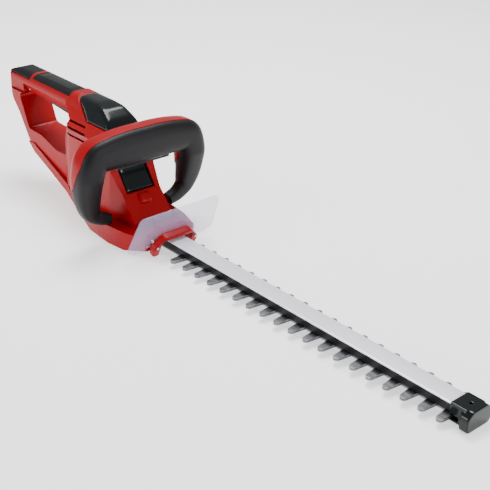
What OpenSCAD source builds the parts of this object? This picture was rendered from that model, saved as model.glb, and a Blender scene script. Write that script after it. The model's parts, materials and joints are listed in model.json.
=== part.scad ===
// Electric hedge trimmer with two counter-moving blades.
// X runs forward along the blades, Y to the tool's left, Z up. Z = 0 is the face it rests on,
// and the origin lies under the middle of the overall length and width.

/* [Blades] */
// Distance from one tooth to the next
tooth_pitch = 24; // [20:0.5:30]
// Number of teeth on each side
tooth_count = 19; // [12:1:23]
// Distance from the centre line to a tooth's tip
tooth_reach = 30.8; // [26:0.2:38]
// Width of a tooth at its base
tooth_base_w = 13; // [10:0.5:14]
// Width of a tooth at its rounded tip
tooth_tip_w = 8.4; // [6:0.2:10]
// Half width of a blade between its teeth
spine_hw = 9.7; // [8:0.1:10.5]
// How far the left teeth sit behind the right ones
side_offset = 8; // [0:1:12]
// Thickness of one blade
blade_t = 2; // [1.5:0.1:2.4]
// Gap above, between and below the blades
blade_gap = 0.3; // [0.2:0.05:0.5]
// Travel of each blade either way from its middle
stroke = 6; // [4:0.5:7]

/* [Blade bar] */
// Half width of the black guide channel
channel_hw = 12; // [11:0.5:14]
// Height of the guide channel
channel_h = 10; // [7:0.5:13]
// Thickness of the aluminium cover
cover_t = 2; // [1.5:0.1:3]
// Distance between the blade bolts
bolt_spacing = 100; // [70:5:130]
// Radius of a bolt's spacer, which the blade slots run on
spacer_r = 3.5; // [3:0.1:4]
// Length of the tip guard
tip_len = 28; // [22:1:34]
// Half width of the tip guard's cross bar
tip_bar_hw = 20; // [16:1:26]

/* [Drive] */
// Teeth on the drive gear
gear_teeth = 54; // [48:1:56]
// Teeth on the motor pinion
pinion_teeth = 10; // [9:1:12]
// Gear module
gear_module = 1; // [0.9:0.05:1.05]
// Width of the drive gear
gear_w = 8; // [6:0.5:10]
// Radius of the eccentric cams
cam_r = 11; // [10:0.5:12]
// Radius of the gear axle
axle_r = 4; // [3:0.25:4.5]

/* [Motor] */
// Radius of the stator
stator_r = 32; // [26:0.5:33]
// Half width of the stator across its flats
stator_flat = 28; // [24:0.5:29]
// Height of the stator's core
stator_h = 42; // [32:1:46]
// Radius of the armature
armature_r = 19; // [15:0.5:20]
// Radius of the motor shaft
shaft_r = 4; // [3:0.25:4.5]
// Outer radius of the motor's ball bearings
bearing_r = 9.5; // [8:0.5:11]
// Height of the motor's ball bearings
bearing_h = 7; // [5:0.5:8]

/* [Housing] */
// Length of the housing from its rear end to its nose
body_len = 368; // [350:1:400]
// Thickness of the housing's walls
wall = 2.5; // [2:0.1:3]
// Half width of the base at its widest
base_hw = 54; // [50:1:60]
// Height of the base's side band
base_h = 26; // [22:1:30]
// Half width of the body above the base
body_hw = 36; // [35:0.5:42]
// Height of the body's top
body_top = 166; // [155:1:172]
// Half width of the body's shoulders, where its sides begin to slope in
shoulder_hw = 23; // [20:0.5:26]
// Half width of the front panel
panel_hw = 23.2; // [20:0.2:26]
// Thickness of the soft covers
soft_t = 4; // [3:0.2:5]

/* [Rear handle] */
// Half width of the grip
grip_hw = 20.5; // [18:0.5:24]
// Height of the grip's underside
grip_low = 134; // [130:1:136]
// Height of the grip's top
grip_top = 165; // [158:1:172]
// Half width of the strut behind the hand
strut_hw = 24; // [22:0.5:26]
// Half width of the trigger
trigger_hw = 9; // [7:0.5:11]
// Angle that the trigger turns
trigger_angle = 3.5; // [2:0.5:4]

/* [Front handle] */
// Half width of the front handle
loop_hw = 102; // [94:1:116]
// Height of the front handle's top
loop_top = 157; // [150:1:170]
// Height of the front handle's bar
loop_bar_h = 50; // [44:1:54]
// Depth of the front handle
loop_depth = 42; // [36:1:44]
// Depth of its black front shell
front_shell_depth = 11; // [9:0.5:13]
// Thickness of the handle's walls
loop_wall = 3; // [2.5:0.1:3.5]
// Travel of the front switch bar
bar_travel = 3; // [2:0.5:4]

/* [Hand guard] */
// Thickness of the clear guard
guard_t = 2.5; // [2:0.1:4]
// Half width of the guard at its top
guard_top_hw = 64; // [56:1:74]
// Half width of the guard at its lower corners
guard_low_hw = 70; // [62:1:80]
// Length of the guard along its slope
guard_len = 64; // [50:1:76]
// Angle that the guard leans forward
guard_lean = 23; // [10:1:30]

/* [Fits] */
// Radial clearance of a shaft in its bush
running = 0.05; // [0.02:0.01:0.1]
// Space between a moving piece and what it passes
free_gap = 0.5; // [0.4:0.1:0.8]
// Space between fixed pieces that are screwed together
seat_gap = 0.1; // [0.05:0.05:0.2]
// Radius of a housing screw's shank
screw_r = 2; // [1.5:0.1:2.5]
// Radius of a housing screw's head
screw_head_r = 4; // [3.2:0.1:4.5]
// Radius of the cord inlet's bore
inlet_r = 4; // [3:0.25:4.5]

/* [Hidden] */
$fn = 48;
tooth_start = 34; // nose to the first tooth
bar_len = tooth_start + (tooth_count - 1) * tooth_pitch + tip_len + 1;
overall = body_len + bar_len;
rear_x = -overall / 2;
nose_x = rear_x + body_len;
tip_x = overall / 2;
first_tooth_x = nose_x + tooth_start;
last_tooth_x = first_tooth_x + (tooth_count - 1) * tooth_pitch;
tip_guard_x = tip_x - tip_len;
tip_screw_x = tip_guard_x + 15;

// Heights of the blade stack, from the bottom plate up
plate_t = 3;
lower_z = 5.4;
upper_z = lower_z + blade_t + blade_gap;
channel_z = upper_z + blade_t + blade_gap;
cover_z = channel_z + channel_h;
bar_start_x = nose_x + 4;
bolt_x = [for (x = [nose_x + 46 : bolt_spacing : tip_guard_x - 20]) x];
slot_r = spacer_r + free_gap;
channel_floor = 3;

// Drive
centre_distance = gear_module * (gear_teeth + pinion_teeth) / 2;
motor_x = nose_x - 130;
gear_x = motor_x + centre_distance;
pressure_angle = 25;
addendum = 0.85 * gear_module;
dedendum = 1.15 * gear_module;
backlash = 0.16 * gear_module;
gear_tip_r = gear_module * gear_teeth / 2 + addendum;
pinion_tip_r = gear_module * pinion_teeth / 2 + addendum;
case_floor = 2.5;
gear_z = channel_z + case_floor + 1;
case_top = gear_z + gear_w + 2;
lid_t = 3;
window_x = cam_r + 2 * stroke + free_gap;
window_y = cam_r + stroke + free_gap;
plate_rim = 6;
cam_gap = 0.15;

// Motor heights
lower_bearing_z = case_top;
fan_z = lower_bearing_z + bearing_h + 3;
fan_h = 10;
fan_r = 27;
winding_h = 8;
stator_z = fan_z + fan_h + winding_h + 3;
armature_z = stator_z + 1;
commutator_z = stator_z + stator_h + winding_h + 2;
commutator_h = 14;
commutator_r = 11;
upper_bearing_z = commutator_z + commutator_h + 4;
shaft_top = upper_bearing_z + bearing_h;
air_gap = 0.6;

// Housing stations along X
base_rear_x = nose_x - 166;
body_rear_x = nose_x - 209;
panel_low = [nose_x - 69, 63];
panel_bend = [nose_x - 88, 89];
tower_top_x = nose_x - 99;
crest_x = nose_x - 230;
hump_x = nose_x - 191;
hump_lean = 36; // how far its cover's rear edge runs forward on its way down
nose_front_x = nose_x - 6;
cap_x = rear_x + 60;
pad_x = cap_x + 6;
pad_end_x = rear_x + 162;
sleeve_z = 140; // lower edge of the top cover's sides

// Front handle stations
loop_front_x = nose_x - 49;
loop_split_x = loop_front_x - front_shell_depth;
loop_rear_x = loop_front_x - loop_depth;
loop_inner_z = loop_top - loop_bar_h;
bar_hy = 42;
bar_hx = 10;
bar_x = loop_rear_x + 18;
bar_proud = 3;
lip = 2;

// Trigger
trigger_pivot = [rear_x + 54, grip_low + 7];
trigger_front_x = nose_x - 194;
trigger_drop = 8;
trigger_pin_r = 2;
trigger_pin_hl = grip_hw - 4.5;
plunger_arm = 24;
plunger_r = 1.6;

// ---- Outlines ----

function unit(v) = v / norm(v);
function turned(v, a) = [v.x * cos(a) - v.y * sin(a), v.x * sin(a) + v.y * cos(a)];

// An outline that runs anticlockwise, moved inwards by d
function inset(p, d) = let (n = len(p)) [
    for (i = [0 : n - 1])
        let (
            a = unit(p[i] - p[(i + n - 1) % n]),
            b = unit(p[(i + 1) % n] - p[i]),
            na = [-a.y, a.x],
            nb = [-b.y, b.x]
        )
        p[i] + d * (na + nb) / (1 + na * nb)
];

// One corner as an arc of radius r
function corner(p0, p1, p2, r, steps) =
    let (
        a = unit(p0 - p1),
        b = unit(p2 - p1),
        half = acos(a * b) / 2,
        c = p1 + unit(a + b) * r / sin(half),
        s = p1 + a * r / tan(half) - c,
        sweep = (180 - 2 * half) * sign(cross(p1 - p0, p2 - p1))
    )
    [for (k = [0 : steps]) c + turned(s, sweep * k / steps)];

// An outline with a radius at each corner, where 0 leaves the corner sharp
function rounded(p, r, steps = 6) = let (n = len(p)) [
    for (i = [0 : n - 1])
        each (r[i] > 0 ? corner(p[(i + n - 1) % n], p[i], p[(i + 1) % n], r[i], steps) : [p[i]])
];

// The right-hand points of an outline followed by their mirror images
function both_sides(p) = concat(p, [for (i = [len(p) - 1 : -1 : 0]) [-p[i].x, p[i].y]]);
function about_x(p) = concat(p, [for (i = [len(p) - 1 : -1 : 0]) [p[i].x, -p[i].y]]);

// Extrusions of an outline in XZ, in YZ and in XY
module across(p, y0, y1) {
    translate([0, y1, 0]) rotate([90, 0, 0]) linear_extrude(y1 - y0) polygon(p);
}
module along(p, x0, x1) {
    translate([x0, 0, 0]) rotate([90, 0, 90]) linear_extrude(x1 - x0) polygon(p);
}
module upright(p, z0, z1) {
    translate([0, 0, z0]) linear_extrude(z1 - z0) polygon(p);
}
module block(x0, x1, y0, y1, z0, z1) {
    translate([x0, y0, z0]) cube([x1 - x0, y1 - y0, z1 - z0]);
}
module rod(x, y, z0, z1, r) {
    translate([x, y, z0]) cylinder(h = z1 - z0, r = r);
}
module rod_y(x, z, y0, y1, r) {
    translate([x, y1, z]) rotate([90, 0, 0]) cylinder(h = y1 - y0, r = r);
}
module rod_x(y, z, x0, x1, r) {
    translate([x0, y, z]) rotate([0, 90, 0]) cylinder(h = x1 - x0, r = r);
}

// ---- Housing ----

// Lower body seen from the side: base, tower and rear slope
body_side = [
    [base_rear_x, 0], [nose_x - 43, 0], [nose_front_x, 9], [nose_front_x, base_h + 1],
    [nose_x - 42, base_h + 5], panel_low, panel_bend, [tower_top_x, body_top - 34],
    [tower_top_x - 13, body_top - 15], [tower_top_x - 30, body_top - 4], [tower_top_x - 50, body_top],
    [crest_x, body_top], [body_rear_x + 19, grip_low],
    [body_rear_x, 99], [body_rear_x, 73], [nose_x - 238, 72], [nose_x - 254, 37], [nose_x - 207, 19],
    [nose_x - 181, 6]
];

// Side band along the lower edge, seen from the side
band_side = [
    [nose_x - 311, 64], [nose_x - 296, 52], [nose_x - 254, 37], [nose_x - 207, 19], [nose_x - 181, 6],
    [base_rear_x, 0], [nose_x - 43, 0], [nose_front_x, 9], [nose_front_x, base_h], [base_rear_x, base_h],
    [nose_x - 207, 33], [nose_x - 254, 50], [nose_x - 296, 65]
];

// Base seen from above, half of it
base_half = [
    [nose_x - 311, strut_hw + 1], [nose_x - 207, strut_hw + 5], [base_rear_x, strut_hw + 10],
    [nose_x - 120, base_hw - 4], [nose_x - 74, base_hw], [nose_x - 40, base_hw - 4],
    [nose_front_x, base_hw - 15]
];
base_plan = [for (i = [2 * len(base_half) - 1 : -1 : 0]) about_x(base_half)[i]];
// The flat part of it, which the bottom plate closes
foot_half = [for (i = [2 : len(base_half) - 1]) base_half[i]];
foot_plan = [for (i = [2 * len(foot_half) - 1 : -1 : 0]) about_x(foot_half)[i]];

// Tower and body seen from above, half of it
tower_plan = [
    [body_rear_x - 2, -strut_hw - 2], [nose_x - 185, -body_hw], [nose_x - 92, -body_hw],
    [panel_low.x, -panel_hw - 7], [nose_x - 42, -panel_hw - 8],
    [nose_x - 42, panel_hw + 8], [panel_low.x, panel_hw + 7], [nose_x - 92, body_hw],
    [nose_x - 185, body_hw], [body_rear_x - 2, strut_hw + 2]
];

// Rear handle seen from the side: grip, strut and floor
handle_side = [
    [rear_x, grip_top - 20], [rear_x + 5, grip_low + 1], [rear_x + 35, 102], [rear_x + 48, 82],
    [rear_x + 58, 67], [nose_x - 296, 52], [nose_x - 254, 37], [nose_x - 207, 19],
    [nose_x - 181, 6], [base_rear_x, 6], [base_rear_x, body_top], [crest_x, body_top],
    [crest_x - 6, grip_top], [rear_x + 22, grip_top], [rear_x + 8, grip_top - 5], [rear_x + 1, grip_top - 13]
];
hand_hole = rounded([
    [rear_x + 36, grip_low], [rear_x + 59, 84], [nose_x - 276, 83], [nose_x - 238, 72],
    [body_rear_x, 73], [body_rear_x, 99], [body_rear_x + 19, grip_low]
], [6, 8, 0, 0, 6, 0, 6], 5);

// Grip's cross-section: bevels along its lower edges and a round crown
crown_r = grip_hw - 6;
grip_section = rounded(both_sides([
    [trigger_hw + 3, grip_low], [grip_hw, grip_low + 14], [grip_hw, grip_top]
]), [0, 0, crown_r, crown_r, 0, 0], 6);

// Rear handle seen from above, with its rounded rear end
handle_plan = rounded([
    [rear_x, -strut_hw], [0, -strut_hw], [0, strut_hw], [rear_x, strut_hw]
], [strut_hw - 3, 0, 0, strut_hw - 3], 6);

// Body's cross-section: upright sides, sloping shoulders and a round crown
body_section = rounded(both_sides([
    [base_hw, 0], [base_hw, base_h], [body_hw, base_h + 2], [body_hw, 122],
    [shoulder_hw, 150], [shoulder_hw - 6, body_top]
]), [0, 0, 0, 10, 16, 12, 12, 16, 10, 0, 0, 0], 5);

// The base and the band along the lower edge, the body above it, and the rear handle
module base_form() {
    intersection() {
        across(band_side, -base_hw, base_hw);
        upright(base_plan, 0, base_h + 40);
    }
}
module body_form(d) {
    intersection() {
        across(inset(body_side, d), -base_hw, base_hw);
        upright(inset(tower_plan, d), base_h + (d > 0 ? 1 : -1), body_top);
        along(inset(body_section, d), rear_x, 0);
    }
}
module handle_form(d) {
    intersection() {
        difference() {
            across(inset(handle_side, d), -base_hw, base_hw);
            across(inset(hand_hole, -d), -base_hw, base_hw);
        }
        upright(inset(handle_plan, d), 0, body_top + 10);
        union() {
            along(inset(grip_section, d), rear_x, nose_x - 180);
            block(rear_x, nose_x - 180, -strut_hw + d, strut_hw - d, 0, grip_low - d);
            // Where the strut runs up into the grip
            block(rear_x, rear_x + 44 - d, -grip_hw + d, grip_hw - d, grip_low - 6, grip_low + 14);
        }
    }
}
module housing_form() {
    base_form();
    body_form(0);
    handle_form(0);
}
module housing_hollow() {
    upright(inset(foot_plan, wall), plate_t, base_h - wall);
    intersection() {
        upright(inset(foot_plan, wall + 1), plate_t + 1, base_h + 3);
        upright(inset(tower_plan, wall + 1), plate_t + 1, base_h + 3);
    }
    body_form(wall);
    handle_form(wall);
}

// What stays inside the hump's cover
module cover_core(d) {
    intersection() {
        along(inset(body_section, d), rear_x, 0);
        across(inset(body_side, d), -base_hw, base_hw);
    }
}
// The hump's cover seen from the side, all of it that lies d inside its room
module cover_side(d) {
    drop = body_top - sleeve_z;
    across([
        [hump_x + hump_lean + d, sleeve_z + d], [tower_top_x + 20, sleeve_z + d], [tower_top_x + 20, body_top + drop],
        [hump_x - hump_lean + d, body_top + drop]
    ], -base_hw, base_hw);
}
// Room for the soft covers, cut out of the housing
module cover_room() {
    difference() {
        cover_side(0);
        cover_core(soft_t + seat_gap);
    }
    panel_room(panel_hw + seat_gap, soft_t + seat_gap);
}
// Everything in front of the body's front face, sunk by d
module panel_room(hw, d) {
    difference() {
        block(tower_top_x - 20, 0, -hw, hw, panel_low.y, sleeve_z + 2);
        across(inset(body_side, d), -hw - 1, hw + 1);
    }
}
cap_rear = 9;
module grip_cover_room() {
    block(rear_x - 1, cap_x, -base_hw, base_hw, grip_top - 9, grip_top + 1);
    block(rear_x - 1, rear_x + cap_rear, -base_hw, base_hw, grip_low + 3, grip_top + 1);
    block(pad_x, pad_end_x, -base_hw, base_hw, grip_top - 6, grip_top + 1);
}

screw_places = [
    [nose_x - 60, 38], [nose_x - 170, 40], [nose_x - 184, 104], [nose_x - 109, 116],
    [rear_x + 31, 116], [nose_x - 268, 62]
];
screw_depth = 14;

module housing_shell() {
    difference() {
        union() {
            difference() {
                housing_form();
                housing_hollow();
            }
            // Ribs that hold the bearings, and bosses for the screws
            intersection() {
                housing_form();
                union() {
                    block(motor_x - 16, motor_x + 16, -body_hw, body_hw,
                          upper_bearing_z, upper_bearing_z + bearing_h);
                    for (p = screw_places) rod_y(p.x, p.y, -base_hw, base_hw, screw_head_r + 2);
                    // Ribs at the stator's flats
                    for (s = [0, 1]) mirror([0, s])
                        block(motor_x - 12, motor_x + 12, stator_flat + seat_gap, body_hw, stator_z, stator_z + 8);
                }
            }
        }
        cover_room();
        grip_cover_room();
        // Seat of the upper bearing
        rod(motor_x, 0, upper_bearing_z - 1, upper_bearing_z + bearing_h + 1, bearing_r);
        // Screw holes, with room for each head on the left
        for (p = screw_places) {
            rod_y(p.x, p.y, -screw_depth, base_hw + 1, screw_r);
            rod_y(p.x, p.y, screw_depth, base_hw + 1, screw_head_r + seat_gap);
        }
        // Open underside for the bottom plate
        upright(inset(foot_plan, wall), -1, plate_t + 1);
        block(nose_x - 165, nose_front_x + 1, -tooth_reach + 6, tooth_reach - 6, -1, channel_z + channel_h + 3);
        // Slot for the trigger
        block(trigger_pivot.x - 8, trigger_front_x + free_gap + 1, -trigger_hw - free_gap,
              trigger_hw + free_gap, grip_low - 12, grip_low + wall + 6);
        rod_y(trigger_pivot.x, trigger_pivot.y, -trigger_pin_hl, trigger_pin_hl, trigger_pin_r);
        // Slots that the front handle's feet, the guard and the cord bush sit in
        guard_room();
        guard_screw_holes(0);
        cord_hole();
        vents();
    }
}

vent_h = 3;
module vents() {
    for (k = [0 : 2])
        block(nose_x - 190 - k, nose_x - 152 + 4 * k, -base_hw, base_hw, 132 - 9 * k, 132 - 9 * k + vent_h);
    block(nose_x - 202, nose_x - 178, -base_hw, base_hw, 30, 30 + vent_h);
}

module housing_right() {
    color("crimson") intersection() {
        housing_shell();
        block(rear_x - 1, nose_x, -base_hw - 1, 0, -1, grip_top + 1);
    }
}
module housing_left() {
    color("crimson") intersection() {
        housing_shell();
        block(rear_x - 1, nose_x, 0, base_hw + 1, -1, grip_top + 1);
    }
}
module housing_screws() {
    color("silver") for (p = screw_places) {
        rod_y(p.x, p.y, -screw_depth, screw_depth, screw_r - seat_gap / 2);
        rod_y(p.x, p.y, screw_depth, screw_depth + 3, screw_head_r);
    }
}

module top_cover() {
    color("dimgray") difference() {
        union() {
            intersection() {
                cover_side(seat_gap);
                across(body_side, -body_hw, body_hw);
                along(body_section, crest_x, tower_top_x);
            }
            intersection() {
                panel_room(panel_hw, soft_t);
                across(body_side, -body_hw, body_hw);
            }
        }
        cover_core(soft_t);
    }
}

grip_skin = 3;
module rear_grip_cap() {
    color("dimgray") difference() {
        intersection() {
            across(handle_side, -grip_hw, grip_hw);
            along(grip_section, rear_x, cap_x - seat_gap);
            upright(handle_plan, 0, grip_top + 1);
            union() {
                block(rear_x, cap_x, -grip_hw, grip_hw, grip_top - 9 + seat_gap, grip_top);
                block(rear_x, rear_x + cap_rear - seat_gap, -grip_hw, grip_hw, grip_low + 3 + seat_gap, grip_top);
            }
        }
        along(inset(grip_section, grip_skin), rear_x + cap_rear, cap_x);
        cord_hole();
    }
}
module rear_grip_pad() {
    color("dimgray") difference() {
        along(grip_section, pad_x + seat_gap, pad_end_x - seat_gap);
        block(pad_x - 1, pad_end_x + 1, -base_hw, base_hw, 0, grip_top - 6 + seat_gap);
        along(inset(grip_section, grip_skin), pad_x - 1, pad_end_x + 1);
    }
}

// ---- Front handle ----

loop_outer = rounded(both_sides([
    [54, base_h], [loop_hw - 20, 40], [loop_hw - 2, 64], [loop_hw, 108], [loop_hw - 22, loop_top - 5],
    [20, loop_top]
]), [0, 14, 24, 26, 24, 0, 0, 24, 26, 24, 14, 0], 6);
loop_inner = rounded(both_sides([
    [36, 40], [loop_hw - 42, 50], [loop_hw - 36, 84], [loop_hw - 50, loop_inner_z]
]), [0, 14, 26, 16, 16, 26, 14, 0], 6);

// Side view of the front handle, whose lower part leans back
loop_side = [
    [loop_rear_x, base_h], [loop_front_x - 16, base_h], [loop_front_x - 14, 44], [loop_front_x, 100],
    [loop_front_x, loop_top], [loop_rear_x, loop_top]
];
// The red rear shell's share of it
rear_share = [
    [loop_rear_x, 76], [loop_rear_x + 16, 92], [loop_split_x, 130], [loop_split_x, loop_top + 1],
    [loop_rear_x - 1, loop_top + 1], [loop_rear_x - 1, 76]
];
foot_hw = 48;

module loop_ring(d, x0, x1) {
    intersection() {
        difference() {
            along(inset(loop_outer, d), x0, x1);
            translate([-1, 0, 0]) along(inset(loop_inner, -d), x0, x1 + 2);
            // Where the handle's feet stand on the base
            block(x0 - 1, x1 + 1, -foot_hw - d, foot_hw + d, 0, 66);
        }
        across(inset(loop_side, d), -loop_hw, loop_hw);
    }
}
// The whole handle, stepped in towards its faces, with its hollow
module loop_body() {
    difference() {
        union() {
            loop_ring(3, loop_rear_x, loop_rear_x + 6);
            loop_ring(0, loop_rear_x + 3, loop_split_x);
            loop_ring(1, loop_split_x - 1, loop_front_x - 2);
            loop_ring(5, loop_front_x - 8, loop_front_x + 6);
            handle_bosses(loop_rear_x + 1, loop_front_x - 2);
        }
        difference() {
            loop_ring(loop_wall + 2, loop_rear_x, loop_front_x);
            handle_bosses(loop_rear_x, loop_front_x);
        }
        handle_screw_holes();
    }
}

handle_screws_at = [[loop_hw - 16, 96], [loop_hw - 38, 134]];
handle_screw_x = loop_rear_x + 8;
handle_screw_end = loop_front_x - 5;

module front_handle_screws() {
    color("silver") for (s = [-1, 1], p = handle_screws_at) {
        rod_x(s * p.x, p.y, handle_screw_x, handle_screw_end, screw_r - seat_gap / 2);
        rod_x(s * p.x, p.y, handle_screw_x - 3, handle_screw_x, screw_head_r);
    }
}
module handle_screw_holes() {
    for (s = [-1, 1], p = handle_screws_at) {
        rod_x(s * p.x, p.y, loop_rear_x - 1, handle_screw_end, screw_r);
        rod_x(s * p.x, p.y, loop_rear_x - 1, handle_screw_x, screw_head_r + seat_gap);
    }
}
module handle_bosses(x0, x1) {
    for (s = [-1, 1], p = handle_screws_at) rod_x(s * p.x, p.y, x0, x1, screw_head_r + 2);
}

module front_handle_rear_shell() {
    color("crimson") difference() {
        union() {
            intersection() {
                loop_body();
                across(rear_share, -loop_hw, loop_hw);
            }
            // Shelves that the springs and the switch bear against
            for (y = spring_y)
                block(loop_rear_x + 4, bar_x + 6, y - 5, y + 5, front_spring_z + front_spring_h,
                      front_spring_z + front_spring_h + shelf_t);
            block(loop_rear_x + 4, bar_x + 6, -switch_hw, switch_hw, front_switch_z + switch_h,
                  front_switch_z + switch_h + shelf_t);
        }
        bar_slot();
    }
}
module bar_slot() {
    block(bar_x - bar_hx - free_gap, bar_x + bar_hx + free_gap, -bar_hy - free_gap, bar_hy + free_gap,
          loop_inner_z - 1, loop_inner_z + loop_wall + 2.1);
}
module front_handle_front_shell() {
    color("dimgray") difference() {
        loop_body();
        across(rear_share, -loop_hw - 1, loop_hw + 1);
        bar_slot();
    }
}

bar_top = loop_inner_z + loop_wall + 2 + free_gap + lip;
module front_switch_bar() {
    color("black") difference() {
        union() {
            block(bar_x - bar_hx, bar_x + bar_hx, -bar_hy, bar_hy, loop_inner_z - bar_proud, bar_top);
            block(bar_x - bar_hx - lip, bar_x + bar_hx, -bar_hy - lip, bar_hy + lip, bar_top - lip, bar_top);
        }
        block(bar_x - bar_hx + 2, bar_x + bar_hx - 2, -bar_hy + 2, bar_hy - 2, loop_inner_z, bar_top - lip);
    }
}
switch_gap = 0.4;
front_switch_z = bar_top + bar_travel + 4;
front_spring_z = bar_top + bar_travel + switch_gap;
front_spring_h = 12;
spring_y = [-30, 30];
switch_hw = 12;
switch_h = 14;
shelf_t = 3;
module front_switch() {
    color("darkslategray") difference() {
        block(bar_x - 6, bar_x + 6, -switch_hw, switch_hw, front_switch_z, front_switch_z + switch_h);
        rod(bar_x, -5, front_switch_z - 1, front_switch_z + 8, plunger_r + running);
    }
}
module front_switch_plunger() {
    color("white") rod(bar_x, -5, bar_top + switch_gap, front_switch_z + 4, plunger_r);
}
module front_switch_springs() {
    color("silver") for (y = spring_y) translate([bar_x, y, front_spring_z]) coil(front_spring_h, 3.4, 0.6);
}
// A spring's closed turns, as one ribbed sleeve
module coil(h, r, wire) {
    turns = floor(h / (1.8 * wire));
    rotate_extrude() {
        translate([r - 0.4 * wire, 0]) square([0.8 * wire, h]);
        for (k = [0 : turns - 1])
            translate([r, wire + (h - 2 * wire) * k / (turns - 1)]) circle(wire, $fn = 16);
    }
}

// ---- Rear trigger ----

module rear_trigger() {
    tail_x = trigger_pivot.x - 5;
    color("black") difference() {
        across([
            [tail_x, grip_low - 1], [tail_x + 40, grip_low - 3], [trigger_front_x - 18, grip_low - trigger_drop],
            [trigger_front_x - 3, grip_low - trigger_drop], [trigger_front_x, grip_low - trigger_drop + 4],
            [trigger_front_x, grip_low + 3], [trigger_pivot.x + 12, grip_low + 3],
            [trigger_pivot.x + 5, trigger_pivot.y + 4], [tail_x, trigger_pivot.y + 4]
        ], -trigger_hw, trigger_hw);
        rod_y(trigger_pivot.x, trigger_pivot.y, -trigger_hw - 1, trigger_hw + 1, trigger_pin_r + running);
        // Room for the return spring round the pin
        rod_y(trigger_pivot.x, trigger_pivot.y, -3, 3, 4.6);
        block(trigger_pivot.x - 5.6, trigger_pivot.x, -3, 3, trigger_pivot.y, trigger_pivot.y + 6);
    }
}
module trigger_pin() {
    color("silver") rod_y(trigger_pivot.x, trigger_pivot.y, -trigger_pin_hl, trigger_pin_hl, trigger_pin_r);
}
module trigger_spring() {
    color("silver") {
        translate([trigger_pivot.x, 2.8, trigger_pivot.y]) rotate([90, 0, 0]) coil(5.6, 3.4, 0.6);
        block(trigger_pivot.x - 4, trigger_pivot.x - 3, 1.4, 2.4, trigger_pivot.y, trigger_pivot.y + 8);
    }
}
rear_switch_x = trigger_pivot.x + plunger_arm;
rear_switch_z = grip_low + 10;
module rear_switch() {
    color("darkslategray") difference() {
        block(rear_switch_x - 8, rear_switch_x + 22, -7, 7, rear_switch_z, rear_switch_z + 14);
        rod(rear_switch_x, 0, rear_switch_z - 1, rear_switch_z + 7, plunger_r + running);
    }
}
module rear_switch_plunger() {
    color("white") rod(rear_switch_x, 0, grip_low + 3 + switch_gap, rear_switch_z + 4, plunger_r);
}

// ---- Hand guard ----

guard_foot = [nose_front_x - guard_t, base_h - 12];
module guard_place() {
    translate([guard_foot.x, 0, guard_foot.y]) rotate([0, guard_lean, 0]) children();
}
guard_outline = rounded(both_sides([
    [34, 0], [guard_low_hw - 14, -6], [guard_low_hw, 3], [guard_top_hw, guard_len - 3]
]), [0, 5, 6, 8, 8, 6, 5, 0], 5);
module guard_plate(grow = 0) {
    guard_place() difference() {
        along(inset(guard_outline, -grow), -grow, guard_t + grow);
        // The blades' way out
        block(-guard_t - 1, 2 * guard_t + 1, -28, 28, -20, 9);
    }
}
module hand_guard() {
    color([0.85, 0.86, 0.92, 0.4]) difference() {
        guard_plate();
        guard_screw_holes(0);
    }
}
module guard_room() {
    guard_plate(seat_gap);
}
module guard_screw_holes(extra) {
    for (s = [-1, 1]) guard_place() rod_x(s * 31, 8, -20, 20, screw_r + extra);
}
retainer_hw = 37;
module guard_retainer() {
    color("crimson") difference() {
        guard_place() along(rounded(both_sides([
            [retainer_hw - 2, -8], [retainer_hw, 6], [22, 22]
        ]), [3, 10, 12, 12, 10, 3], 5), guard_t + seat_gap, guard_t + 11);
        guard_place() block(guard_t - 1, guard_t + 14, -25, 25, -20, 16.5);
        block(nose_front_x - 20, nose_front_x + seat_gap, -base_hw, base_hw, 0, base_h + 30);
        guard_screw_holes(seat_gap);
    }
}
module guard_screws() {
    color("silver") for (s = [-1, 1]) guard_place() {
        rod_x(s * 31, 8, -6, guard_t + 12, screw_r - seat_gap / 2);
    }
}

// ---- Underside and gear case ----

foot_places = [[nose_x - 150, 30], [nose_x - 50, 36]];
module bottom_plate() {
    color("black") difference() {
        upright(inset(foot_plan, wall + seat_gap), 0, plate_t);
        block(nose_x - 43, 0, -base_hw, base_hw, -1, plate_t + 1);
        for (s = [-1, 1], p = foot_places) {
            rod(p.x, s * p.y, -1, plate_t + 1, screw_r);
            rod(p.x, s * p.y, -1, plate_t - 1.5, screw_head_r + seat_gap);
        }
        rod(gear_x, 0, -1, plate_t + 1, axle_r + 3);
    }
}
module bottom_screws() {
    color("silver") for (s = [-1, 1], p = foot_places) {
        rod(p.x, s * p.y, 0.5, plate_t - 1.5, screw_head_r);
        rod(p.x, s * p.y, plate_t - 1.5, channel_z + case_floor + 6, screw_r - seat_gap / 2);
    }
}

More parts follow.
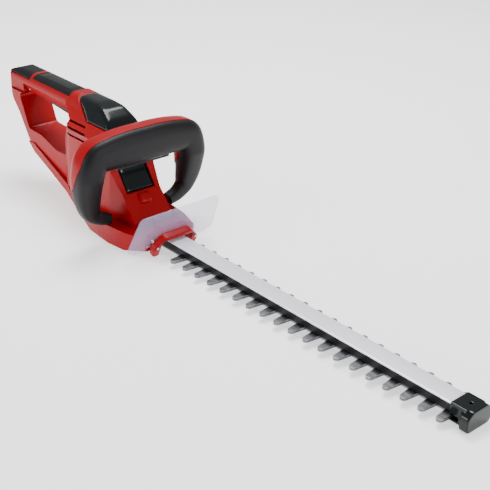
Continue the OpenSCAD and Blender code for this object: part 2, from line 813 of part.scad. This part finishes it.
case_wall = 3;
case_air = 1.5;
lid_screw_places = [[gear_x + 30, 18], [motor_x + 8, 22]];
module case_outline(d) {
    translate([gear_x, 0]) circle(gear_tip_r + case_air + d);
    translate([motor_x, 0]) circle(pinion_tip_r + case_air + 4 + d);
    translate([motor_x, -pinion_tip_r - case_air - 4 - d])
        square([centre_distance, 2 * (pinion_tip_r + case_air + 4 + d)]);
}
module gear_case() {
    color("lightslategray") difference() {
        union() {
            translate([0, 0, channel_z]) linear_extrude(case_top - channel_z) case_outline(case_wall);
            intersection() {
                upright(inset(foot_plan, wall + seat_gap), channel_z, channel_z + case_floor);
                block(nose_x - 162, bar_start_x - 30, -base_hw, base_hw, 0, 40);
            }
            for (s = [-1, 1], p = foot_places)
                rod(p.x, s * p.y, plate_t, channel_z + case_floor + 5, screw_r + 3);
            for (s = [-1, 1], p = lid_screw_places) rod(p.x, s * p.y, channel_z, case_top, screw_r + 3);
        }
        translate([0, 0, channel_z + case_floor]) linear_extrude(case_top) case_outline(0);
        for (s = [-1, 1], p = foot_places) rod(p.x, s * p.y, 0, 40, screw_r);
        for (s = [-1, 1], p = lid_screw_places) rod(p.x, s * p.y, channel_z + 4, 60, screw_r);
        rod(gear_x, 0, 0, 40, axle_r + 3);
    }
}
module gear_case_lid() {
    color("lightslategray") difference() {
        union() {
            translate([0, 0, case_top]) linear_extrude(lid_t) case_outline(case_wall);
            for (s = [-1, 1], p = lid_screw_places) rod(p.x, s * p.y, case_top, case_top + lid_t, screw_r + 3);
            rod(motor_x, 0, case_top, case_top + bearing_h, bearing_r + 3);
        }
        rod(motor_x, 0, case_top, case_top + bearing_h + 1, bearing_r);
        for (s = [-1, 1], p = lid_screw_places) rod(p.x, s * p.y, 0, 60, screw_r);
        rod(gear_x, 0, 0, 40, axle_r + 3);
    }
}
module lid_screws() {
    color("silver") for (s = [-1, 1], p = lid_screw_places) {
        rod(p.x, s * p.y, channel_z + 5, case_top + lid_t, screw_r - seat_gap / 2);
        rod(p.x, s * p.y, case_top + lid_t, case_top + lid_t + 2.5, screw_head_r);
    }
}

// ---- Motor ----

module stator_section(r, flat) {
    intersection() {
        circle(r);
        square([2 * r, 2 * flat], center = true);
    }
}
module stator_core() {
    color("slategray") translate([motor_x, 0, stator_z]) linear_extrude(stator_h) difference() {
        stator_section(stator_r, stator_flat);
        circle(armature_r + air_gap);
    }
}
module field_windings() {
    color("peru") for (z = [stator_z - winding_h, stator_z + stator_h])
        translate([motor_x, 0, z]) linear_extrude(winding_h) difference() {
            stator_section(stator_r - 4, stator_flat - 3);
            circle(armature_r + air_gap + 1);
        }
}
holder_len = 12;
module brush_holders() {
    color("goldenrod") for (s = [90, 270]) translate([motor_x, 0, 0]) rotate([0, 0, s]) difference() {
        block(commutator_r + 3, commutator_r + 3 + holder_len, -4.5, 4.5, commutator_z + 2, commutator_z + 12);
        block(commutator_r + 2, commutator_r + 2 + holder_len, -3.1, 3.1, commutator_z + 3.9, commutator_z + 10.1);
    }
}
module carbon_brushes() {
    color("black") for (s = [90, 270]) translate([motor_x, 0, 0]) rotate([0, 0, s])
        block(commutator_r + 0.35, commutator_r + holder_len, -3, 3, commutator_z + 4, commutator_z + 10);
}
module ball_bearing(z) {
    translate([motor_x, 0, z]) difference() {
        cylinder(h = bearing_h, r = bearing_r);
        translate([0, 0, -1]) cylinder(h = bearing_h + 2, r = shaft_r + running);
    }
}
module lower_bearing() {
    color("silver") ball_bearing(lower_bearing_z);
}
module upper_bearing() {
    color("silver") ball_bearing(upper_bearing_z);
}
module motor_shaft() {
    color("silver") rod(motor_x, 0, gear_z + gear_w + 1, shaft_top, shaft_r);
}
module on_shaft(z, h, r) {
    translate([motor_x, 0, z]) difference() {
        cylinder(h = h, r = r);
        translate([0, 0, -1]) cylinder(h = h + 2, r = shaft_r);
    }
}
module armature_core() {
    color("slategray") difference() {
        on_shaft(armature_z, stator_h - 2, armature_r);
        for (k = [0 : 11]) translate([motor_x, 0, 0]) rotate([0, 0, 30 * k])
            block(armature_r - 1.5, armature_r + 1, -1, 1, armature_z - 1, armature_z + stator_h);
    }
}
module armature_windings() {
    color("peru") {
        on_shaft(armature_z - 6, 6, armature_r - 3);
        on_shaft(armature_z + stator_h - 2, 6, armature_r - 3);
    }
}
module commutator() {
    color("peru") difference() {
        on_shaft(commutator_z, commutator_h, commutator_r);
        for (k = [0 : 23]) translate([motor_x, 0, 0]) rotate([0, 0, 15 * k])
            block(commutator_r - 0.8, commutator_r + 1, -0.3, 0.3, commutator_z + 2, commutator_z + commutator_h + 1);
    }
}
module cooling_fan() {
    color("black") {
        on_shaft(fan_z, fan_h, shaft_r + 4);
        on_shaft(fan_z, 2, fan_r);
        for (k = [0 : 11]) translate([motor_x, 0, 0]) rotate([0, 0, 30 * k])
            block(shaft_r + 3, fan_r - 1, -0.8, 0.8, fan_z + 1, fan_z + fan_h);
    }
}

// ---- Gears ----

// Involute of a base circle, t is the roll angle in degrees
function involute_angle(rb, r) = let (c = min(1, rb / r)) tan(acos(c)) * 180 / PI - acos(c);
// One flank's points from the root to the tip, as [radius, angle from the tooth's middle]
function flank(n, tip_r, root_r, thin) =
    let (
        rp = gear_module * n / 2,
        rb = rp * cos(pressure_angle),
        at_pitch = 90 / n - thin / rp * 90 / PI,
        r0 = max(rb, root_r)
    )
    [for (k = [0 : 4])
        let (r = r0 + (tip_r - r0) * k / 4)
        [r, at_pitch + involute_angle(rb, rp) - involute_angle(rb, r)]];
function gear_outline(n, phase) =
    let (
        rp = gear_module * n / 2,
        root_r = rp - dedendum,
        f = flank(n, rp + addendum, root_r, backlash)
    )
    [for (i = [0 : n - 1])
        let (mid = phase + 360 * i / n)
        each concat(
            [[root_r * cos(mid - f[0][1]), root_r * sin(mid - f[0][1])]],
            [for (q = f) [q[0] * cos(mid - q[1]), q[0] * sin(mid - q[1])]],
            [for (k = [4 : -1 : 0]) [f[k][0] * cos(mid + f[k][1]), f[k][0] * sin(mid + f[k][1])]],
            [[root_r * cos(mid + f[0][1]), root_r * sin(mid + f[0][1])]]
        )];
// A gear tooth points at the motor, so the pinion shows it a gap
gear_phase = 180;
pinion_phase = 180 / pinion_teeth;

module pinion() {
    color("gray") translate([motor_x, 0, gear_z - 0.5]) linear_extrude(gear_w + 1.5)
        polygon(gear_outline(pinion_teeth, pinion_phase));
}
module drive_gear() {
    color("gray") translate([gear_x, 0, gear_z]) linear_extrude(gear_w) difference() {
        polygon(gear_outline(gear_teeth, gear_phase));
        circle(axle_r);
        for (k = [0 : 5]) rotate(60 * k + 30) translate([0.6 * gear_tip_r, 0]) circle(4.5);
    }
}
module gear_axle() {
    color("silver") rod(gear_x, 0, 1, case_top + lid_t, axle_r);
}
module cam(side, z) {
    difference() {
        rod(gear_x, side * stroke, z + cam_gap / 2, z + blade_t - cam_gap / 2, cam_r);
        rod(gear_x, 0, z - 1, z + blade_t + 1, axle_r);
    }
}
module upper_cam() {
    color("goldenrod") cam(1, upper_z);
}
module lower_cam() {
    color("goldenrod") cam(-1, lower_z);
}
module axle_bushes() {
    color("tan") for (span = [[0.5, plate_t], [channel_z, channel_z + case_floor], [case_top, case_top + lid_t]])
        difference() {
            rod(gear_x, 0, span[0], span[1], axle_r + 3);
            rod(gear_x, 0, span[0] - 1, span[1] + 1, axle_r + running);
        }
}

// ---- Blades and blade bar ----

module tooth(x) {
    r = tooth_tip_w / 2;
    reach = tooth_reach - r;
    translate([x, 0]) {
        translate([0, reach]) circle(r, $fn = 32);
        polygon([
            [-tooth_base_w / 2, spine_hw - 2], [tooth_base_w / 2, spine_hw - 2], [r, reach], [-r, reach]
        ]);
    }
}
module slotted(x) {
    translate([x - stroke, 0]) circle(slot_r);
    translate([x + stroke, 0]) circle(slot_r);
    translate([x - stroke, -slot_r]) square([2 * stroke, 2 * slot_r]);
}
blade_end_x = tip_guard_x + 2;
module blade(z) {
    translate([0, 0, z]) linear_extrude(blade_t) difference() {
        union() {
            translate([gear_x, -spine_hw]) square([blade_end_x - gear_x, 2 * spine_hw]);
            for (i = [0 : tooth_count - 1]) {
                mirror([0, 1]) tooth(first_tooth_x + i * tooth_pitch);
                tooth(first_tooth_x + i * tooth_pitch - side_offset);
            }
            translate([gear_x, 0])
                square([2 * (window_x + plate_rim), 2 * (window_y + plate_rim)], center = true);
        }
        translate([gear_x, 0]) square([2 * window_x, 2 * window_y], center = true);
        for (x = bolt_x) slotted(x);
    }
}
module upper_blade() {
    color("gainsboro") blade(upper_z);
}
module lower_blade() {
    color("gainsboro") blade(lower_z);
}
module guide_channel() {
    wall_t = 2;
    color("black") difference() {
        block(bar_start_x - 30, tip_guard_x + 20, -channel_hw, channel_hw, channel_z, cover_z);
        block(bar_start_x - 31, tip_guard_x + 21, -channel_hw + wall_t, channel_hw - wall_t,
              channel_z + channel_floor, cover_z + 1);
        for (x = bolt_x) rod(x, 0, 0, 40, screw_r + 0.5);
        rod(tip_screw_x, 0, 0, 40, screw_r);
    }
}
module blade_cover() {
    hw = channel_hw + 1;
    color("ghostwhite") along([
        [-hw, cover_z], [hw, cover_z], [hw, cover_z + cover_t - 0.8], [hw - 1.6, cover_z + cover_t],
        [-hw + 1.6, cover_z + cover_t], [-hw, cover_z + cover_t - 0.8]
    ], bar_start_x, tip_guard_x - seat_gap);
}
module blade_bolts() {
    color("silver") for (x = bolt_x) {
        rod(x, 0, 2, lower_z - blade_gap, spacer_r + 2.5);
        rod(x, 0, lower_z - blade_gap, channel_z, spacer_r);
        rod(x, 0, channel_z, channel_z + channel_floor + 4.5, screw_r + 0.5 - seat_gap / 2);
    }
}
module blade_nuts() {
    color("silver") for (x = bolt_x) difference() {
        translate([x, 0, channel_z + channel_floor]) cylinder(h = 4, r = 4.6, $fn = 6);
        rod(x, 0, 0, 40, screw_r + 0.5);
    }
}
module tip_guard() {
    hw = channel_hw + 3;
    color("darkslategray") difference() {
        union() {
            block(tip_guard_x, tip_x - 6, -hw, hw, 2, cover_z + cover_t + 2);
            along(rounded(both_sides([[tip_bar_hw, 0], [tip_bar_hw, 18], [12, cover_z + cover_t + 2]]),
                  [5, 8, 3, 3, 8, 5], 5), tip_x - 11, tip_x);
        }
        // Room for the guide channel's end and for the blades' travel
        block(tip_guard_x - 1, tip_guard_x + 20 + seat_gap, -channel_hw - seat_gap, channel_hw + seat_gap,
              channel_z - seat_gap, cover_z + seat_gap);
        block(tip_guard_x - 1, last_tooth_x + tooth_base_w / 2 + stroke + free_gap, -hw - 1, hw + 1,
              lower_z - free_gap, channel_z);
        rod(tip_screw_x, 0, 0, 60, screw_r);
    }
}
module tip_screw() {
    color("silver") {
        rod(tip_screw_x, 0, 2.2, channel_z + channel_floor, screw_r - seat_gap / 2);
    }
}

// ---- Cord inlet and electrics ----

// The cord enters through the rear end of the grip
inlet_z = grip_low + 12;
module cord_hole() {
    rod_x(0, inlet_z, rear_x - 1, rear_x + 30, inlet_r + 4);
}
module cord_bush() {
    color("black") difference() {
        rod_x(0, inlet_z, rear_x + 1, rear_x + 16, inlet_r + 4 - seat_gap);
        rod_x(0, inlet_z, rear_x, rear_x + 17, inlet_r);
    }
}
clamp_x = rear_x + 36;
clamp_z = grip_low + wall;
clamp_h = 9;
module cord_clamp() {
    color("dimgray") difference() {
        block(clamp_x - 4, clamp_x + 4, -10, 10, clamp_z, clamp_z + clamp_h);
        rod_x(0, clamp_z + 2.5, clamp_x - 5, clamp_x + 5, 3.5);
        for (s = [-1, 1]) rod(clamp_x, s * 7, clamp_z + 1, clamp_z + clamp_h + 1, screw_r);
    }
}
module cord_clamp_screws() {
    color("silver") for (s = [-1, 1]) {
        rod(clamp_x, s * 7, clamp_z + 1, clamp_z + clamp_h, screw_r - seat_gap / 2);
        rod(clamp_x, s * 7, clamp_z + clamp_h, clamp_z + clamp_h + 2, screw_head_r - 1);
    }
}
module suppressor() {
    color("gold") block(nose_x - 240, nose_x - 222, -6, 6, 144, 156);
}

housing_right();
housing_left();
housing_screws();
top_cover();
rear_grip_cap();
rear_grip_pad();
front_handle_rear_shell();
front_handle_front_shell();
front_handle_screws();
front_switch_bar();
front_switch();
front_switch_plunger();
front_switch_springs();
rear_trigger();
trigger_pin();
trigger_spring();
rear_switch();
rear_switch_plunger();
hand_guard();
guard_retainer();
guard_screws();
bottom_plate();
bottom_screws();
gear_case();
gear_case_lid();
lid_screws();
stator_core();
field_windings();
brush_holders();
carbon_brushes();
lower_bearing();
upper_bearing();
motor_shaft();
armature_core();
armature_windings();
commutator();
cooling_fan();
pinion();
drive_gear();
gear_axle();
upper_cam();
lower_cam();
axle_bushes();
upper_blade();
lower_blade();
guide_channel();
blade_cover();
blade_bolts();
blade_nuts();
tip_guard();
tip_screw();
cord_bush();
cord_clamp();
cord_clamp_screws();
suppressor();
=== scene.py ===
import json
import math

import bmesh
import bpy
from mathutils import Matrix, Vector

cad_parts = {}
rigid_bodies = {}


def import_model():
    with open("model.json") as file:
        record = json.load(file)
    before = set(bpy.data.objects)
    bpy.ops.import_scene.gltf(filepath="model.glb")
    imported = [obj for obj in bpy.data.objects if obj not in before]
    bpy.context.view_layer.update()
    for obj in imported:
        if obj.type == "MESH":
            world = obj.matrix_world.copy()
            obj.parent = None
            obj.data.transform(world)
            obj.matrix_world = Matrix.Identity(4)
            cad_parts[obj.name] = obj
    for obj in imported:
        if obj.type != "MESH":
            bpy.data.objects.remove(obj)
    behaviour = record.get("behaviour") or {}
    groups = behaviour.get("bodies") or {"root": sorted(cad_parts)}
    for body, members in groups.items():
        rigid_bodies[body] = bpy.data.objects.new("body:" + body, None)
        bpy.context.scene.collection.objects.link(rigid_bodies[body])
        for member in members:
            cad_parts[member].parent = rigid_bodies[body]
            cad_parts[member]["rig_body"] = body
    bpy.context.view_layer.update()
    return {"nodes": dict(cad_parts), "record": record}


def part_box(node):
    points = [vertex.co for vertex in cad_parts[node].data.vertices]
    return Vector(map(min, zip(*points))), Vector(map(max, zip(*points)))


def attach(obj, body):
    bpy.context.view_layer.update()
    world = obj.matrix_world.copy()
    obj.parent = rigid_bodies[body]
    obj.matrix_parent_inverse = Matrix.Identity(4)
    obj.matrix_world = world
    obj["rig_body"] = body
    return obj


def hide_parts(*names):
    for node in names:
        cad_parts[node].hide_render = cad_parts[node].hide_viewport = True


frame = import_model()
NODES = frame["nodes"]
SLOT = {s["node"]: s["material_slot"] for s in frame["record"]["subparts"]}


def V(*p):
    """A point given in millimetres."""
    return Vector(p) / 1000


def linked(obj):
    bpy.context.scene.collection.objects.link(obj)
    return obj


# ---------- camera, at the photograph's view ----------

AZ, EL, ROLL = math.radians(47.217), math.radians(26.983), math.radians(2.137)
AIM = V(-3.7, 72.55, 10)
DISTANCE = 1.38287
back = Vector((math.sin(AZ) * math.cos(EL), -math.cos(AZ) * math.cos(EL), math.sin(EL)))
right = (-back).cross(Vector((0, 0, 1))).normalized()
up = right.cross(-back).normalized()
right, up = (
    math.cos(ROLL) * right + math.sin(ROLL) * up,
    -math.sin(ROLL) * right + math.cos(ROLL) * up,
)
cam_data = bpy.data.cameras.new("camera")
cam = linked(bpy.data.objects.new("camera", cam_data))
cam_data.sensor_width = 36
cam_data.lens = 77.06
cam_data.clip_end = 20
cam.matrix_world = Matrix.Translation(AIM + back * DISTANCE) @ Matrix(
    (right, up, back)
).transposed().to_4x4()
bpy.context.scene.camera = cam


# ---------- materials ----------

EDGE_RADIUS = 0.0006
GRAIN_DEPTH = 0.0002


def made(name, low, high, rough, grain=900, bump=0.12, metal=0.0, spread=9, rough_spread=0.08,
         stretch=(1, 1, 1), alpha=1.0, specular=0.5):
    """A moulded or machined finish: uneven colour and gloss, a fine surface texture and softened edges."""
    mat = bpy.data.materials.new(name)
    mat.use_nodes = True
    nt = mat.node_tree
    bsdf = nt.nodes["Principled BSDF"]
    new, join = nt.nodes.new, nt.links.new
    coord = new("ShaderNodeTexCoord")
    mapping = new("ShaderNodeMapping")
    mapping.inputs["Scale"].default_value = stretch
    join(coord.outputs["Object"], mapping.inputs["Vector"])
    patches = new("ShaderNodeTexNoise")
    patches.inputs["Scale"].default_value = spread
    patches.inputs["Detail"].default_value = 5
    join(mapping.outputs[0], patches.inputs["Vector"])
    ramp = new("ShaderNodeValToRGB")
    ramp.color_ramp.elements[0].position, ramp.color_ramp.elements[1].position = 0.3, 0.7
    ramp.color_ramp.elements[0].color, ramp.color_ramp.elements[1].color = (*low, 1), (*high, 1)
    join(patches.outputs["Fac"], ramp.inputs["Fac"])
    join(ramp.outputs["Color"], bsdf.inputs["Base Color"])
    fine = new("ShaderNodeTexNoise")
    fine.inputs["Scale"].default_value = grain
    fine.inputs["Detail"].default_value = 3
    join(mapping.outputs[0], fine.inputs["Vector"])
    gloss = new("ShaderNodeMapRange")
    gloss.inputs["To Min"].default_value = rough - rough_spread
    gloss.inputs["To Max"].default_value = rough + rough_spread
    join(patches.outputs["Fac"], gloss.inputs["Value"])
    join(gloss.outputs["Result"], bsdf.inputs["Roughness"])
    b = new("ShaderNodeBump")
    b.inputs["Strength"].default_value = bump
    b.inputs["Distance"].default_value = GRAIN_DEPTH
    join(fine.outputs["Fac"], b.inputs["Height"])
    soft = new("ShaderNodeBevel")
    soft.samples = 4
    soft.inputs["Radius"].default_value = EDGE_RADIUS
    join(soft.outputs["Normal"], b.inputs["Normal"])
    join(b.outputs["Normal"], bsdf.inputs["Normal"])
    bsdf.inputs["Metallic"].default_value = metal
    bsdf.inputs["Specular IOR Level"].default_value = specular
    bsdf.inputs["Alpha"].default_value = alpha
    return mat


MATS = {
    "red_shell": made("red_shell", (0.29, 0.0003, 0.0036), (0.35, 0.0008, 0.0046), 0.30, bump=0.08,
                      specular=0.16),
    "soft_black": made("soft_black", (0.0045, 0.0045, 0.0055), (0.0075, 0.0075, 0.009), 0.46, grain=1500,
                       bump=0.30, specular=0.2),
    "black_plastic": made("black_plastic", (0.004, 0.004, 0.005), (0.007, 0.007, 0.008), 0.36, bump=0.15,
                          specular=0.18),
    "gloss_black": made("gloss_black", (0.0012, 0.0035, 0.0038), (0.002, 0.005, 0.0055), 0.16, bump=0.03,
                        rough_spread=0.03, specular=0.28),
    "clear_guard": made("clear_guard", (0.42, 0.43, 0.66), (0.48, 0.49, 0.70), 0.10, bump=0.02,
                        rough_spread=0.03, alpha=0.25, specular=0.3),
    "blade_steel": made("blade_steel", (0.13, 0.135, 0.14), (0.27, 0.275, 0.29), 0.32, grain=500,
                        bump=0.12, metal=1.0, stretch=(0.25, 6, 1), spread=30),
    "steel": made("steel", (0.45, 0.45, 0.47), (0.60, 0.60, 0.62), 0.30, metal=1.0),
    "core_steel": made("core_steel", (0.20, 0.21, 0.24), (0.28, 0.29, 0.32), 0.45, metal=1.0,
                       stretch=(1, 1, 40)),
    "aluminium": made("aluminium", (0.84, 0.84, 0.93), (0.90, 0.90, 0.97), 0.34, metal=0.35, grain=700,
                      stretch=(0.1, 5, 5), spread=20),
    "cast_alloy": made("cast_alloy", (0.40, 0.41, 0.43), (0.50, 0.51, 0.53), 0.5, metal=1.0, bump=0.3,
                       grain=400),
    "copper": made("copper", (0.45, 0.16, 0.06), (0.55, 0.22, 0.09), 0.35, metal=1.0, stretch=(1, 1, 30)),
    "bronze": made("bronze", (0.45, 0.30, 0.12), (0.55, 0.38, 0.18), 0.4, metal=1.0),
    "carbon": made("carbon", (0.010, 0.010, 0.010), (0.02, 0.02, 0.02), 0.6, bump=0.4),
    "white_plastic": made("white_plastic", (0.70, 0.70, 0.68), (0.78, 0.78, 0.76), 0.4),
    "yellow_plastic": made("yellow_plastic", (0.55, 0.36, 0.02), (0.62, 0.42, 0.03), 0.3),
}
for name, obj in NODES.items():
    obj.data.materials.clear()
    obj.data.materials.append(MATS[SLOT[name]])


# ---------- stage ----------

def stage_mesh(name, verts, faces, mat):
    mesh = bpy.data.meshes.new(name)
    mesh.from_pydata(verts, [], faces)
    mesh.materials.append(mat)
    linked(bpy.data.objects.new(name, mesh))


FLOOR_HALF, FLOOR_Z = 6, -0.0005
floor_mat = made("floor", (0.95, 0.95, 0.95), (0.97, 0.97, 0.97), 0.8, bump=0.02, grain=60, specular=0.2)
glow = floor_mat.node_tree.nodes["Principled BSDF"]
glow.inputs["Emission Color"].default_value = (1, 1, 1, 1)
glow.inputs["Emission Strength"].default_value = 0.9
corners = [(x * FLOOR_HALF, y * FLOOR_HALF, FLOOR_Z) for x, y in ((-1, -1), (1, -1), (1, 1), (-1, 1))]
stage_mesh("floor", corners, [(0, 1, 2, 3)], floor_mat)

world = bpy.data.worlds.new("studio")
bpy.context.scene.world = world
world.use_nodes = True
world.node_tree.nodes["Background"].inputs["Color"].default_value = (1, 1, 1, 1)
world.node_tree.nodes["Background"].inputs["Strength"].default_value = 0.55


def soft_light(name, place, aim, size, watts):
    data = bpy.data.lights.new(name, "AREA")
    data.shape, data.size, data.energy = "SQUARE", size, watts
    obj = linked(bpy.data.objects.new(name, data))
    obj.location = place
    obj.rotation_mode = "QUATERNION"
    obj.rotation_quaternion = (Vector(aim) - Vector(place)).to_track_quat("-Z", "Y")


soft_light("top_light", (-0.5, 0.5, 1.7), (-0.05, 0, 0), 0.9, 42)
soft_light("front_light", (1.7, 0.5, 0.9), (-0.1, 0, 0.08), 0.6, 14)
soft_light("side_light", (-0.6, -1.6, 0.7), (-0.15, 0, 0.08), 0.7, 12)


# ---------- shaped copies of the CAD's shells ----------

def finished(bm, name, slot, body, replaces=(), angle=35):
    """The piece made from a mesh, smooth but for its sharp edges, riding on its body."""
    mesh = bpy.data.meshes.new(name)
    bm.to_mesh(mesh)
    bm.free()
    mesh.polygons.foreach_set("use_smooth", [True] * len(mesh.polygons))
    mesh.set_sharp_from_angle(angle=math.radians(angle))
    obj = linked(bpy.data.objects.new(name, mesh))
    mesh.materials.append(MATS[slot])
    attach(obj, body)
    if replaces:
        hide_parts(*replaces)
    return obj


def shaped(node, width, segments=2, angle=28):
    """A CAD node's own shape with its edges rounded, which stands for that node."""
    bm = bmesh.new()
    bm.from_mesh(NODES[node].data)
    bmesh.ops.remove_doubles(bm, verts=bm.verts, dist=1e-5)
    bmesh.ops.dissolve_limit(bm, angle_limit=math.radians(0.6), verts=bm.verts, edges=bm.edges)
    obj = finished(bm, node + "_shape", SLOT[node], NODES[node]["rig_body"], [node], angle)
    bevel = obj.modifiers.new("round", "BEVEL")
    bevel.width, bevel.segments, bevel.limit_method = width, segments, "ANGLE"
    bevel.angle_limit = math.radians(angle)
    bevel.use_clamp_overlap = True
    bevel.miter_outer = "MITER_ARC"
    obj.modifiers.new("even", "WEIGHTED_NORMAL").keep_sharp = False
    return obj


# ---------- front handle: one rounded loop, with its red rear shell lapped over the soft front ----------

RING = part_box("front_handle_front_shell")
LOOP_FRONT, LOOP_REAR = RING[1].x * 1000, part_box("front_handle_rear_shell")[0].x * 1000
LOOP_TOP, LOOP_HW = RING[1].z * 1000, RING[1].y * 1000


def smooth_path(points, count):
    """Evenly spaced points on a smooth curve through the given ones."""
    out, last = [], len(points) - 1
    for k in range(count + 1):
        t = k / count * last
        i = min(int(t), last - 1)
        t -= i
        p = [points[max(0, min(last, i + j))] for j in (-1, 0, 1, 2)]
        out.append(tuple(
            0.5 * (2 * b + (c - a) * t + (2 * a - 5 * b + 4 * c - d) * t * t + (3 * b - a - 3 * c + d) * t ** 3)
            for a, b, c, d in zip(*p)
        ))
    return out


# Half of the loop, from its foot up to the middle of the bar: y, z and width across
HALF_LOOP = [
    (LOOP_HW - 52, 34, 16), (LOOP_HW - 37, 39, 20), (LOOP_HW - 25, 49, 26), (LOOP_HW - 20, 64, 33),
    (LOOP_HW - 18, 84, 37), (LOOP_HW - 19.5, 108, 40), (LOOP_HW - 28, 126, 43),
    (LOOP_HW - 50, LOOP_TOP - 26, 47),
    (LOOP_HW - 78, LOOP_TOP - 25, 50), (0, LOOP_TOP - 25, 50),
]


def loop_piece(grow, power, rings=150, around=56):
    """The loop's skin: a rounded section carried along it, which leans back towards the feet."""
    half = smooth_path(HALF_LOOP, rings // 2)
    path = [(-y, z, w) for y, z, w in half] + [(y, z, w) for y, z, w in reversed(half[:-1])]
    bm = bmesh.new()
    hoops = []
    for i, (y, z, w) in enumerate(path):
        a, b = path[max(0, i - 1)], path[min(len(path) - 1, i + 1)]
        along = Vector((0, b[0] - a[0], b[1] - a[1])).normalized()
        out = Vector((0, along.z, -along.y))
        lean = 15 * max(0, min(1, (100 - z) / 56))
        x0, x1 = LOOP_REAR + 0.25 * lean, LOOP_FRONT - lean
        rx, ry, cx = (x1 - x0) / 2 + grow, w / 2 + grow, (x0 + x1) / 2
        hoop = []
        for k in range(around):
            t = 2 * math.pi * k / around
            c, s = math.cos(t), math.sin(t)
            fx = math.copysign(abs(c) ** (2 / power), c)
            fy = math.copysign(abs(s) ** (2 / power), s)
            p = Vector((cx + fx * rx, y, z)) + out * (fy * ry)
            hoop.append(bm.verts.new(p / 1000))
        hoops.append(hoop)
    for a, b in zip(hoops, hoops[1:]):
        for k in range(around):
            n = (k + 1) % around
            bm.faces.new((a[k], a[n], b[n], b[k]))
    bm.faces.new(hoops[0])
    bm.faces.new(reversed(hoops[-1]))
    bmesh.ops.recalc_face_normals(bm, faces=bm.faces)
    return bm


finished(loop_piece(-0.5, 2.9), "front_handle_soft", "soft_black", "tool", ["front_handle_front_shell"])
bm = loop_piece(0.0, 3.4)
split = LOOP_FRONT - 11
for place, outward in (
    ((LOOP_REAR, 0, 76), (1, 0, -1)),
    ((LOOP_REAR + 16, 0, 92), (38, 0, -15)),
    ((split, 0, 0), (1, 0, 0)),
):
    bmesh.ops.bisect_plane(bm, geom=bm.verts[:] + bm.edges[:] + bm.faces[:], plane_co=V(*place),
                           plane_no=Vector(outward).normalized(), clear_outer=True, dist=1e-6)
red_loop = finished(bm, "front_handle_red", "red_shell", "tool", ["front_handle_rear_shell"])
thick = red_loop.modifiers.new("wall", "SOLIDIFY")
thick.thickness, thick.offset = 0.0025, -1
lip = red_loop.modifiers.new("lip", "BEVEL")
lip.width, lip.segments, lip.limit_method, lip.angle_limit = 0.0008, 2, "ANGLE", math.radians(50)


def soften(obj, size, passes):
    """Rounds a moulding's corners over much more than its edges, as on a soft cover."""
    remesh = obj.modifiers.new("blend", "REMESH")
    remesh.mode, remesh.voxel_size, remesh.use_smooth_shade = "VOXEL", size, True
    relax = obj.modifiers.new("relax", "SMOOTH")
    relax.factor, relax.iterations = 0.6, passes


shaped("housing_right", 0.0014, 3)
shaped("housing_left", 0.0014, 3)
soften(shaped("top_cover", 0.0012, 3), 0.0016, 34)
soften(shaped("rear_grip_cap", 0.001), 0.0012, 8)
shaped("rear_grip_pad", 0.0008)
shaped("rear_trigger", 0.0022, 3)
soften(shaped("guard_retainer", 0.0012, 3), 0.0009, 10)
soften(shaped("tip_guard", 0.0012, 3), 0.0008, 10)
shaped("guide_channel", 0.0006)
shaped("blade_cover", 0.0004)
shaped("upper_blade", 0.0003, 1)
shaped("lower_blade", 0.0003, 1)


# ---------- raised details on the grip and the nose -------------------------

# How much of a grip node's height its crown takes, and how deep a plate's rim lies in it
CROWN_SHARE, SUNK = 0.30, 0.0003


def crowned_plate(name, node, ends, reach, rise, slot, steps=24, sides=20):
    """A thin plate with soft edges that follows the crown of a node's top, between two places along it."""
    lo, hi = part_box(node)
    mid, top, drop = (lo.y + hi.y) / 2, hi.z, (hi.z - lo.z) * CROWN_SHARE
    bm = bmesh.new()
    rows = []
    for i in range(steps + 1):
        u = i / steps
        row = []
        for j in range(sides + 1):
            v = 2 * j / sides - 1
            x = lo.x + (hi.x - lo.x) * (ends[0] + (ends[1] - ends[0]) * u)
            rim = min(1.0, 6 * (1 - abs(v)), 12 * u, 12 * (1 - u))
            z = top - drop * v * v * reach ** 2 + rise * math.sin(rim * math.pi / 2) - SUNK
            row.append(bm.verts.new((x, mid + v * reach * (hi.y - lo.y) / 2, z)))
        rows.append(row)
    for a, b in zip(rows, rows[1:]):
        for j in range(sides):
            bm.faces.new((a[j], b[j], b[j + 1], a[j + 1]))
    bmesh.ops.recalc_face_normals(bm, faces=bm.faces)
    finished(bm, name, slot, "tool", angle=60)


crowned_plate("grip_inlay", "rear_grip_pad", (0.06, 0.93), 0.62, 0.0009, "gloss_black")



def dome(name, centre, across, down, out, half, slot, rings=14, around=48):
    """A low boss with a rounded top and square-cornered outline, raised on a sloping face."""
    bm = bmesh.new()
    rows = []
    for i in range(rings):
        t = (math.pi / 2) * i / rings
        row = []
        for k in range(around):
            c, s = math.cos(2 * math.pi * k / around), math.sin(2 * math.pi * k / around)
            r = math.cos(t) ** 0.45
            a = math.copysign(abs(c) ** 0.55, c) * half[0] * r
            b = math.copysign(abs(s) ** 0.55, s) * half[1] * r
            row.append(bm.verts.new(centre + across * a + down * b + out * (half[2] * math.sin(t))))
        rows.append(row)
    for a, b in zip(rows, rows[1:]):
        for k in range(around):
            n = (k + 1) % around
            bm.faces.new((a[k], a[n], b[n], b[k]))
    bm.faces.new(rows[-1])
    bm.faces.new(reversed(rows[0]))
    bmesh.ops.recalc_face_normals(bm, faces=bm.faces)
    finished(bm, name, slot, "tool", angle=60)


# The small boss under the front panel, on the slope down to the nose
panel_foot = Vector((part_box("top_cover")[1].x, 0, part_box("top_cover")[0].z))
slope = Vector((27, 0, -32)).normalized()
rise = Vector((-slope.z, 0, slope.x))
dome("nose_boss", panel_foot + slope * 0.010 - rise * 0.0008, Vector((0, 1, 0)), slope, rise,
     (0.0095, 0.0085, 0.0048), "red_shell")
